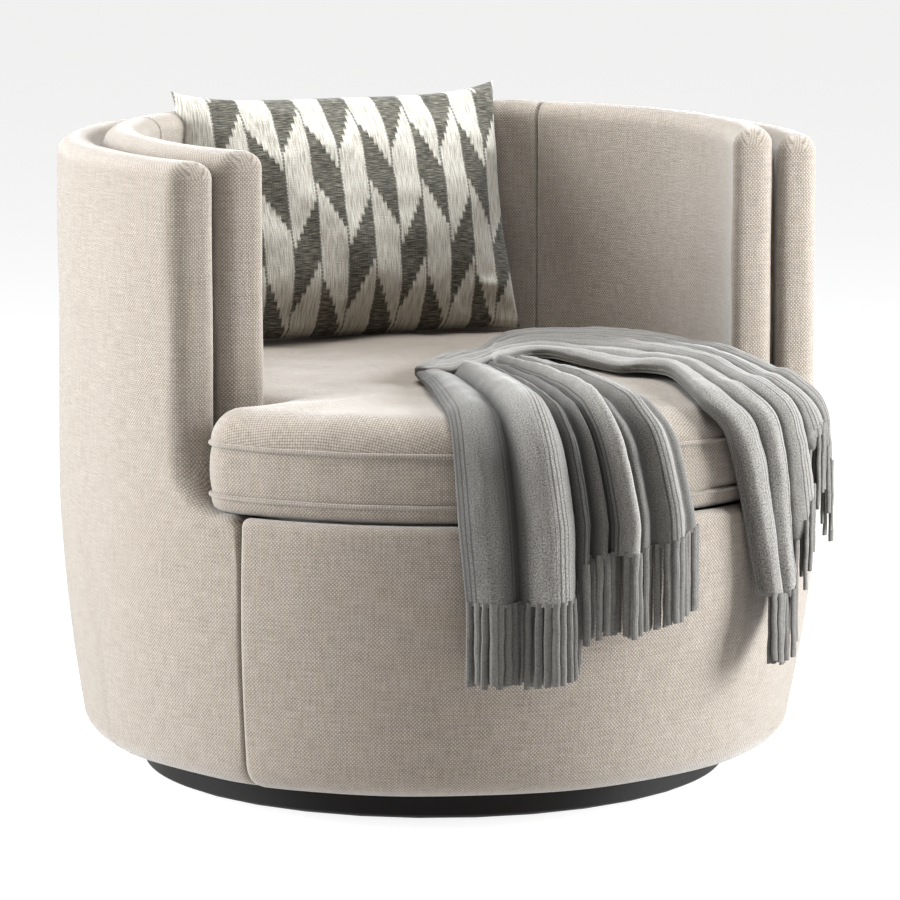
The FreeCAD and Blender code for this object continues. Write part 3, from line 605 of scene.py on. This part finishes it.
wide, tall = 84, 62
index, points = {}, []
for side in (1, -1):
    for row in range(tall + 1):
        for step in range(wide + 1):
            edge = row in (0, tall) or step in (0, wide)
            if edge and side < 0:
                index[side, row, step] = index[1, row, step]
                continue
            u, v = 2 * step / wide - 1, 2 * row / tall - 1
            crown = 0.55 + 0.45 * math.cos(u) * math.cos(v)
            bulge = half_deep * ((1 - u ** 4) * (1 - v ** 4)) ** 0.5 * crown
            x = u * half_wide * (1 - side_draw * (1 - v * v))
            y = v * half_tall * (1 - (top_draw if v > 0 else foot_draw) * (1 - u ** 4) * v * v)
            index[side, row, step] = len(points)
            points.append((x, y, side * bulge))
faces = []
for side in (1, -1):
    for row in range(tall):
        for step in range(wide):
            face = [index[side, row, step], index[side, row, step + 1],
                    index[side, row + 1, step + 1], index[side, row + 1, step]]
            faces.append(face[::side])
points = np.array(points)
points[:, 2] += uneven(points + 7.7, 0.003, 0.05) * (np.abs(points[:, 2]) > 1e-4)
cut = points[:, :2] / [0.985, 0.98] + [half_wide, half_tall]
pillow = new_mesh("Pillow", points, faces, cut, leafy)
inflate(pillow, pressure=2, frames=12, cap=0.006)
blown = np.array([v.co for v in pillow.data.vertices])
blown[:, 0] *= half_wide / np.abs(blown[:, 0]).max()
blown[:, 1] *= half_tall / np.abs(blown[:, 1]).max()
for way, depth in ((1, depths.max()), (-1, -depths.min())):
    on = blown[:, 2] * way > 0
    blown[on, 2] *= depth * full_depth / np.abs(blown[on, 2]).max()
right, up = (blown[:, 0] / half_wide + 1) / 2, (blown[:, 1] / half_tall + 1) / 2
spot = np.einsum("pi,pj,ijk->pk", np.stack([1 - up, up], 1), np.stack([1 - right, right], 1), corners)
blown = spot + blown[:, 2:] * facing
pillow.data.vertices.foreach_set("co", blown.astype(np.float32).ravel())
crease = pillow.data.attributes.new("crease_edge", "FLOAT", "EDGE")
sewn = set(index[1, row, step] for row in range(tall + 1) for step in range(wide + 1)
           if row in (0, tall) or step in (0, wide))
crease.data.foreach_set("value", [0.7 * (set(edge.vertices) <= sewn) for edge in pillow.data.edges])
smoother = pillow.modifiers.new("Smooth", "SUBSURF")
smoother.levels = smoother.render_levels = 1
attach(pillow, "pillow")
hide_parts("pillow")

# ---------------- throw
# A soft mid-grey knitted throw with fine lengthwise lines, 0.80 by 1.27 m flat. It is folded lengthwise in
# three, laid across the cushion as a band, and hangs over the front in deep folds and over the right edge.

line_pitch, group_pitch, group_share = 0.0050, 0.052, 0.29
top_reach, hang_reach, edge_run = 0.397, 0.459, 0.062
edge_width, edge_rise, top_rise, top_run = 0.0405, 0.0385, 0.014, 0.12
fold_samples = 161

knit = Finish("Grey knit", 0.95, Sheen_Weight=0.25, Sheen_Roughness=0.4)
place = knit.add("UVMap", uv_map="cloth")
sway = knit.mix(0.0010, place, knit.speckle(60, 2, place).node.outputs["Color"], "ADD")
split = knit.add("SeparateXYZ", [("Vector", sway)]).node.outputs
fine = knit.maths("SINE", knit.maths("MULTIPLY", split["X"], 2 * math.pi / line_pitch))
group = knit.maths("FRACT", knit.maths("DIVIDE", split["X"], group_pitch))
thin = knit.maths("MULTIPLY", knit.maths("LESS_THAN", fine, -0.45),
                  knit.maths("LESS_THAN", group, group_share))
fuzz = knit.speckle(760, 4, place)
ribs = knit.speckle(1.0, 3, knit.add("Mapping", [("Vector", place), ("Scale", (650, 60, 1))]))
tone = knit.maths("ADD", knit.maths("MULTIPLY", fuzz, 2.4), knit.maths("MULTIPLY", ribs, 0.5))
grey = knit.mix(knit.maths("SUBTRACT", tone, 0.95), (0.048, 0.044, 0.039, 1), (0.300, 0.280, 0.256, 1))
grey = knit.mix(knit.maths("MULTIPLY", thin, 0.75), grey, (0.026, 0.023, 0.021, 1))
# Painted shade: the knit is darkened towards the bottom of its folds, by each point's fold height, where
# shade falls in the valleys.
height = knit.add("Attribute", attribute_name="fold").node.outputs["Fac"]
fold_valley_shade = knit.add("MapRange", [("Value", height), ("From Min", 0.20), ("From Max", 0.92), ("To Min", 0.10)])
grey = knit.mix(fold_valley_shade, (0.022, 0.020, 0.018, 1), grey)
knit = knit.finish(grey, fuzz, 0.0006, 0.5)


def unrolled(places):
    """Plan points for (x, y) in mm on the seat, or (degrees, height) of the part that hangs."""
    made = []
    for first, second, hangs in places:
        if hangs:
            turn, reach = math.radians(first), hang_reach + upper_seam - second / 1000
            made.append((reach * math.sin(turn), -stretch_front - reach * math.cos(turn)))
        else:
            made.append((first / 1000, second / 1000))
    return np.array(made)


def softened(rows, times):
    """Rows smoothed in their order, with both ends kept."""
    for _ in range(times):
        rows[1:-1] = rows[1:-1] * 0.5 + (rows[2:] + rows[:-2]) * 0.25
    return rows


def spread_line(line, shares):
    """A line's points at shares of its length, as seen along the sheet's width, softened."""
    reach = np.hypot(line[:, 0], line[:, 1] + stretch_front)
    turn = np.unwrap(np.arctan2(line[:, 0], -line[:, 1] - stretch_front))
    spans = np.hypot(np.diff(turn) * reach[1:], 0.2 * np.diff(reach)) if len(line) > 2 else [1]
    reach = np.concatenate([[0], np.cumsum(spans)])
    even = np.linspace(0, reach[-1], 240)
    line = softened(np.stack([np.interp(even, reach, line[:, k]) for k in range(2)], -1), 5)
    return np.stack([np.interp(shares * reach[-1], even, line[:, k]) for k in range(2)], -1)


def over_cushion(plan, lift):
    """Lays plan points over the cushion, its rounded edge and down the front, lifted off it by so much."""
    side, ahead = plan[..., 0], -plan[..., 1] - stretch_front
    reach = np.hypot(side, ahead)
    left = hang_reach - reach
    turn = np.clip(left / edge_run, 0, 1) * math.pi / 2
    out = np.where(reach > top_reach, top_reach + (edge_width + lift) * np.cos(turn), reach)
    crown = top_rise * (1 - (1 - np.clip((top_reach - reach) / top_run, 0, 1)) ** 2)
    level = upper_seam + (edge_rise + lift) * np.sin(turn) + crown + np.clip(left, None, 0)
    out = np.maximum(out, 1e-4)
    return np.stack([side / reach * out, -stretch_front - ahead / reach * out, level], -1)


def drape(stages, counts, profiles):
    """A folded sheet in three layers: points, cloth coordinates, and how high each point lies in its folds.

    Stages are plan lines across it, and profiles are the places and heights of the folds at each line.
    """
    lines = [spread_line(unrolled(stage), places) for stage, (places, _) in zip(stages, profiles)]
    profiles = [heights for _, heights in profiles]
    rows, lifts = [], []
    for first, second, low, high, count in zip(lines, lines[1:], profiles, profiles[1:], counts):
        for part in np.linspace(0, 1, count, endpoint=False):
            rows.append(first + (second - first) * part)
            lifts.append(low + (high - low) * part * part * (3 - 2 * part))
    rows.append(lines[-1])
    lifts.append(profiles[-1])
    plan, lift = softened(np.array(rows), 4), softened(np.maximum(lifts, 0.005), 4)
    made = []
    for share, every in ((1, 1), (0.66, 2), (0.33, 2)):
        flat = over_cushion(plan, lift).reshape(-1, 3)
        soft = (uneven(flat + 5.5, 0.0030, 0.07) + uneven(flat, 0.0012, 0.02)).reshape(lift.shape)
        points = over_cushion(plan, np.maximum(lift + soft, 0.0045) * share)[::every, ::every]
        spans = np.linalg.norm(np.diff(points, axis=1), axis=2).mean(0)
        runs = np.linalg.norm(np.diff(points, axis=0), axis=2).mean(1)
        across = np.concatenate([[0], np.cumsum(spans)])
        down = np.concatenate([[0], np.cumsum(runs)])
        height = (lift / lift.max(1, keepdims=True))[::every, ::every]
        made.append((points, np.stack(np.meshgrid(across, down), -1), height))
    return made


def profile(pairs, scale, floor):
    """Folds across a sheet, from (place, height) pairs in mm: places as shares of its width, and heights."""
    pairs = np.array(pairs, float)
    spans = np.hypot(*np.diff(pairs, axis=0).T)
    reach = np.concatenate([[0], np.cumsum(spans)])
    at = np.linspace(0, reach[-1], fold_samples)
    line = softened(np.stack([np.interp(at, reach, pairs[:, k]) for k in range(2)], -1), 2)
    return (line[:, 0] - pairs[0, 0]) / (pairs[-1, 0] - pairs[0, 0]), line[:, 1] / 1000 * scale + floor


main_folds = [(-176, 5), (-172, 9), (-160, 16), (-146, 20), (-132, 17), (-122, 10), (-116, 4), (-113, 3),
              (-111, 8), (-105, 18), (-96, 26), (-84, 31), (-72, 30), (-62, 25), (-54, 17), (-50, 9),
              (-54, 3), (-50, 2), (-46, 8), (-41, 16), (-36, 15), (-32, 7), (-30, 3), (-27, 4),
              (-24, 12), (-19, 19), (-14, 14), (-12, 5), (-9, 3), (-9, 10), (-4, 22), (3, 33), (11, 33),
              (17, 24), (17, 12), (12, 4), (17, 3), (20, 9), (27, 17), (35, 14), (40, 8), (46, 14),
              (56, 24), (68, 25), (76, 18), (80, 13), (87, 16), (94, 13), (99, 7), (101, 3)]


def hang(*pairs):
    """Places on the part that hangs, from (degrees, height in mm) pairs."""
    return [(turn, level, True) for turn, level in pairs]


def seat(*pairs):
    """Places on the seat, from (x, y) pairs in mm."""
    return [(x, y, False) for x, y in pairs]


main_stages = [
    seat((-113, -196), (-58, -190), (-30, -172), (0, -172), (30, -165), (60, -200)),
    seat((-150, -320), (-100, -330), (-40, -340), (0, -345), (30, -345), (58, -340)),
    hang((-24.3, 462), (-18, 462), (-10, 462), (-4, 462), (2, 462), (8.0, 462)),
    hang((-23.8, 420), (-18, 420), (-10, 420), (-4, 420), (3, 420), (10.3, 420)),
    hang((-23.2, 350), (-18, 350), (-10, 350), (-4, 350), (4, 350), (12.4, 350)),
    hang((-22.2, 268), (-16, 266), (-11, 268), (-6.6, 270), (-5.6, 312), (-3, 316), (-0.8, 319), (1.5, 316),
         (6, 322), (12.8, 338))]
main_profiles = [profile(main_folds, scale, 0.003) for scale in (0.42, 0.62, 0.95, 1.15, 1.2, 1.2)]
band_near = seat((-106, -203), (-74, -218), (-40, -196), (-7, -169), (14, -142), (65, -111), (92, -128),
                 (94, -180), (106, -267), (127, -268), (150, -300), (136, -370))
band_far = seat((-112, -190), (-60, -123), (-29, -92), (16, -85), (66, -13), (116, 42), (192, 56),
                (250, 40), (282, -30), (281, -124), (290, -200), (301, -265))
band_stages = [list(pair) for pair in zip(band_near, band_far)] + [
    hang((16.9, 465), (24, 466), (32, 467), (39, 466), (45.5, 462)),
    hang((19.0, 440), (26, 440), (33, 440), (40, 445), (47.3, 440)),
    hang((21.2, 395), (27, 395), (33, 395), (38, 410), (42, 432), (45, 425), (48.6, 405)),
    hang((24.3, 312), (29, 310), (33, 325), (36, 360), (38.5, 385), (41, 428), (44.5, 420), (48.8, 370)),
    hang((26.7, 247), (31.9, 240), (34.2, 279), (35.7, 305), (36.6, 330), (38, 353), (39, 376), (41, 405),
         (42.4, 426), (44.6, 420), (46.5, 385), (48.9, 342))]
side_folds = [(0, 7), (-2, 14), (6, 22), (18, 24), (30, 20), (36, 12), (31, 6), (38, 5), (42, 13),
              (52, 21), (64, 22), (74, 15), (76, 7), (70, 5), (80, 5), (84, 14), (96, 22), (110, 23),
              (120, 15), (119, 7), (128, 5), (131, 14), (142, 20), (156, 18), (162, 10), (160, 6),
              (168, 6), (172, 15), (184, 20), (195, 15), (200, 6)]
band_profiles = [profile(side_folds, scale, 0.004) for scale in
                 (0.35, 0.45, 0.5, 0.5, 0.5, 0.5, 0.45, 0.45, 0.5, 0.55, 0.6, 0.6, 0.7, 0.85, 0.95, 1, 1)]
main_layers = drape(main_stages, [22, 16, 8, 14, 16], main_profiles)
band_layers = drape(band_stages, [6] * 11 + [12, 6, 10, 14, 12], band_profiles)
points, coordinates, faces, raised = [], [], [], []
for grid, cut, share in main_layers + band_layers:
    first = sum(len(p) for p in points)
    faces += quads(*grid.shape[:2], first)
    points.append(grid.reshape(-1, 3))
    coordinates.append(cut.reshape(-1, 2) + [0.6 * (len(points) > 3), 0])
    raised.append(share.ravel())
throw = new_mesh("Throw", np.concatenate(points), faces, np.concatenate(coordinates), knit)
# Each point's fold height, which the knit reads to paint shade into the fold valleys.
fold = throw.data.attributes.new("fold", "FLOAT", "POINT")
fold.data.foreach_set("value", np.concatenate(raised).astype(np.float32))
thickness = throw.modifiers.new("Thickness", "SOLIDIFY")
thickness.thickness, thickness.offset = 0.0013, 0
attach(throw, "throw")
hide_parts("throw")

# ---------------- throw fringe
# Strips cut into the same knit, about 8 mm wide and 80 to 90 mm long, that curl a little, along the hems
# that hang. A Geometry Nodes group sets one strip on each root and joins them to one mesh.

main_length, band_length, strip_pitch = 0.092, 0.079, 1.0
strip_width, strip_thickness = 0.0084, 0.0046

yarn = plain_finish("Grey knit strips", (0.118, 0.110, 0.101), 0.95, 420, 0.6)
roots = []
for layers, length in ((main_layers, main_length), (band_layers, band_length)):
    for layer, (grid, _, _) in enumerate(layers[:2]):
        hem = grid[-1]
        turn = np.degrees(np.arctan2(hem[:, 0], -hem[:, 1] - stretch_front))
        rising = np.maximum.accumulate(turn) + np.arange(len(turn)) * 1e-6
        for at in np.arange(turn[0] + (1 + layer) * strip_pitch / 2, turn[-1] - 0.4, strip_pitch):
            spot = [np.interp(at, rising, hem[:, k]) for k in range(3)]
            roots.append((*spot[:2], spot[2] + 0.004, math.radians(at), length))
roots = np.array(roots)
root_mesh = bpy.data.meshes.new("Fringe roots")
root_mesh.from_pydata(roots[:, :3].tolist(), [], [])
for name, column in (("turn", 3), ("strip_length", 4)):
    values = root_mesh.attributes.new(name, "FLOAT", "POINT")
    values.data.foreach_set("value", roots[:, column].astype(np.float32))
throw_fringe = bpy.data.objects.new("Throw_fringe", root_mesh)
bpy.context.scene.collection.objects.link(throw_fringe)

repeat = bpy.data.node_groups.new("Strips on a hem", "GeometryNodeTree")
for way in ("INPUT", "OUTPUT"):
    repeat.interface.new_socket("Geometry", in_out=way, socket_type="NodeSocketGeometry")
ports = []
for name, kind, value in (("Strip width", "NodeSocketFloat", strip_width),
                          ("Strip thickness", "NodeSocketFloat", strip_thickness),
                          ("Seed", "NodeSocketInt", 4)):
    port = repeat.interface.new_socket(name, in_out="INPUT", socket_type=kind)
    ports.append((port.identifier, value))
given = repeat.nodes.new("NodeGroupInput").outputs


def step(kind, operation=None, second=None, **joined):
    """One node's first output; names take an underscore for a space, second is a sum's other value."""
    node = repeat.nodes.new(kind)
    wanted = {name.replace("_", " "): value for name, value in joined.items()}
    pairs = [(socket, wanted.pop(socket.name)) for socket in node.inputs
             if socket.name in wanted and socket.enabled]
    if operation:
        node.operation = operation
        pairs.append((node.inputs[1], second))
    for socket, value in pairs:
        if isinstance(value, bpy.types.NodeSocket):
            repeat.links.new(value, socket)
        else:
            socket.default_value = value
    return node.outputs[0]


def spread(low, high):
    """A random value for each point."""
    node = repeat.nodes.new("FunctionNodeRandomValue")
    node.data_type = "FLOAT"
    sockets = {s.name: s for s in node.inputs if s.enabled}
    sockets["Min"].default_value, sockets["Max"].default_value = low, high
    repeat.links.new(given["Seed"], sockets["Seed"])
    return next(s for s in node.outputs if s.enabled)


def kept_value(name):
    """A value kept on each root."""
    node = repeat.nodes.new("GeometryNodeInputNamedAttribute")
    node.data_type, node.inputs["Name"].default_value = "FLOAT", name
    return node.outputs[0]


size = step("ShaderNodeCombineXYZ", X=given["Strip width"], Y=given["Strip thickness"], Z=1.0)
strip = step("GeometryNodeMeshCylinder", Vertices=10, Side_Segments=12, Radius=0.5, Depth=1.0)
lowered = step("GeometryNodeTransform", Geometry=strip, Translation=(0, 0, -0.5), Scale=size)
yaw = step("ShaderNodeMath", "ADD", spread(-0.30, 0.30), Value=kept_value("turn"))
tilt = spread(-0.016, 0.016)
angles = step("ShaderNodeCombineXYZ", X=tilt, Y=tilt, Z=yaw)
drawn = step("ShaderNodeMath", "MULTIPLY", spread(0.96, 1.04), Value=kept_value("strip_length"))
scaled = step("ShaderNodeCombineXYZ", X=1.0, Y=1.0, Z=drawn)
placed = step("GeometryNodeInstanceOnPoints", Points=given["Geometry"], Instance=lowered,
              Rotation=angles, Scale=scaled)
joined = step("GeometryNodeRealizeInstances", Geometry=placed)
wave = step("ShaderNodeTexNoise", Scale=38.0, Detail=1.0).node.outputs["Color"]
centred = step("ShaderNodeVectorMath", "SUBTRACT", (0.5, 0.5, 0.5), Vector=wave)
shrunk = step("ShaderNodeVectorMath", "MULTIPLY", (0.0032, 0.0032, 0.001), Vector=centred)
moved = step("GeometryNodeSetPosition", Geometry=joined, Offset=shrunk)
painted = step("GeometryNodeSetMaterial", Geometry=moved, Material=yarn)
result = repeat.nodes.new("NodeGroupOutput")
repeat.links.new(painted, result.inputs["Geometry"])
strips = throw_fringe.modifiers.new("Strips", "NODES")
strips.node_group = repeat
for identifier, value in ports:
    strips[identifier] = value
baked = bpy.data.meshes.new_from_object(throw_fringe.evaluated_get(bpy.context.evaluated_depsgraph_get()))
throw_fringe.modifiers.remove(strips)
throw_fringe.data = baked
baked.name = "Throw_fringe"
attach(throw_fringe, "throw")
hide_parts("throw_fringe")

# ---------------- floor, lights and camera
# A plain pale floor, and soft light from wide softboxes at both sides and above.

floor_mesh = bpy.data.meshes.new("Floor")
floor_mesh.from_pydata([(-30, -30, 0), (30, -30, 0), (30, 30, 0), (-30, 30, 0)], [], [(0, 1, 2, 3)])
pale = Finish("Pale floor", 0.6)
pale.put(pale.surface, "Emission Color", (1, 1, 1, 1))
pale.put(pale.surface, "Emission Strength", 0.84)
pale = pale.finish(pale.mix(pale.speckle(6), (0.22, 0.22, 0.222, 1), (0.25, 0.25, 0.25, 1)))
floor_mesh.materials.append(pale)
floor = bpy.data.objects.new("Floor", floor_mesh)
bpy.context.scene.collection.objects.link(floor)

for name, place, size, power in (("Left softbox", (-3.3, 1.0, 1.5), (2.0, 2.6), 350),
                                 ("Right softbox", (3.3, -1.7, 1.3), (1.6, 2.2), 460),
                                 ("Top softbox", (0.1, -0.1, 3.0), (2.2, 1.8), 145)):
    light = bpy.data.lights.new(name, "AREA")
    light.shape, light.energy = "RECTANGLE", power
    light.size, light.size_y = size
    light.color = (0.93, 0.97, 1.0)
    lamp = bpy.data.objects.new(name, light)
    bpy.context.scene.collection.objects.link(lamp)
    lamp.location = place
    lamp.rotation_euler = (Vector((0, 0, 0.4)) - Vector(place)).to_track_quat("-Z", "Y").to_euler()

world = bpy.data.worlds.new("Studio")
bpy.context.scene.world = world
world.use_nodes = True
world.node_tree.nodes["Background"].inputs["Color"].default_value = (1, 0.93, 0.84, 1)
world.node_tree.nodes["Background"].inputs["Strength"].default_value = 0.10
bpy.context.scene.view_settings.view_transform = "Standard"

camera_data = bpy.data.cameras.new("Camera")
camera_data.lens, camera_data.sensor_width = 201, 36
camera_data.clip_end = 100
camera = bpy.data.objects.new("Camera", camera_data)
bpy.context.scene.collection.objects.link(camera)
camera.location = (-2.4512, -5.2566, 1.268)
aim = Vector((0.0169, -0.0079, 0.3633)) - camera.location
camera.rotation_euler = aim.to_track_quat("-Z", "Y").to_euler()
bpy.context.scene.camera = camera
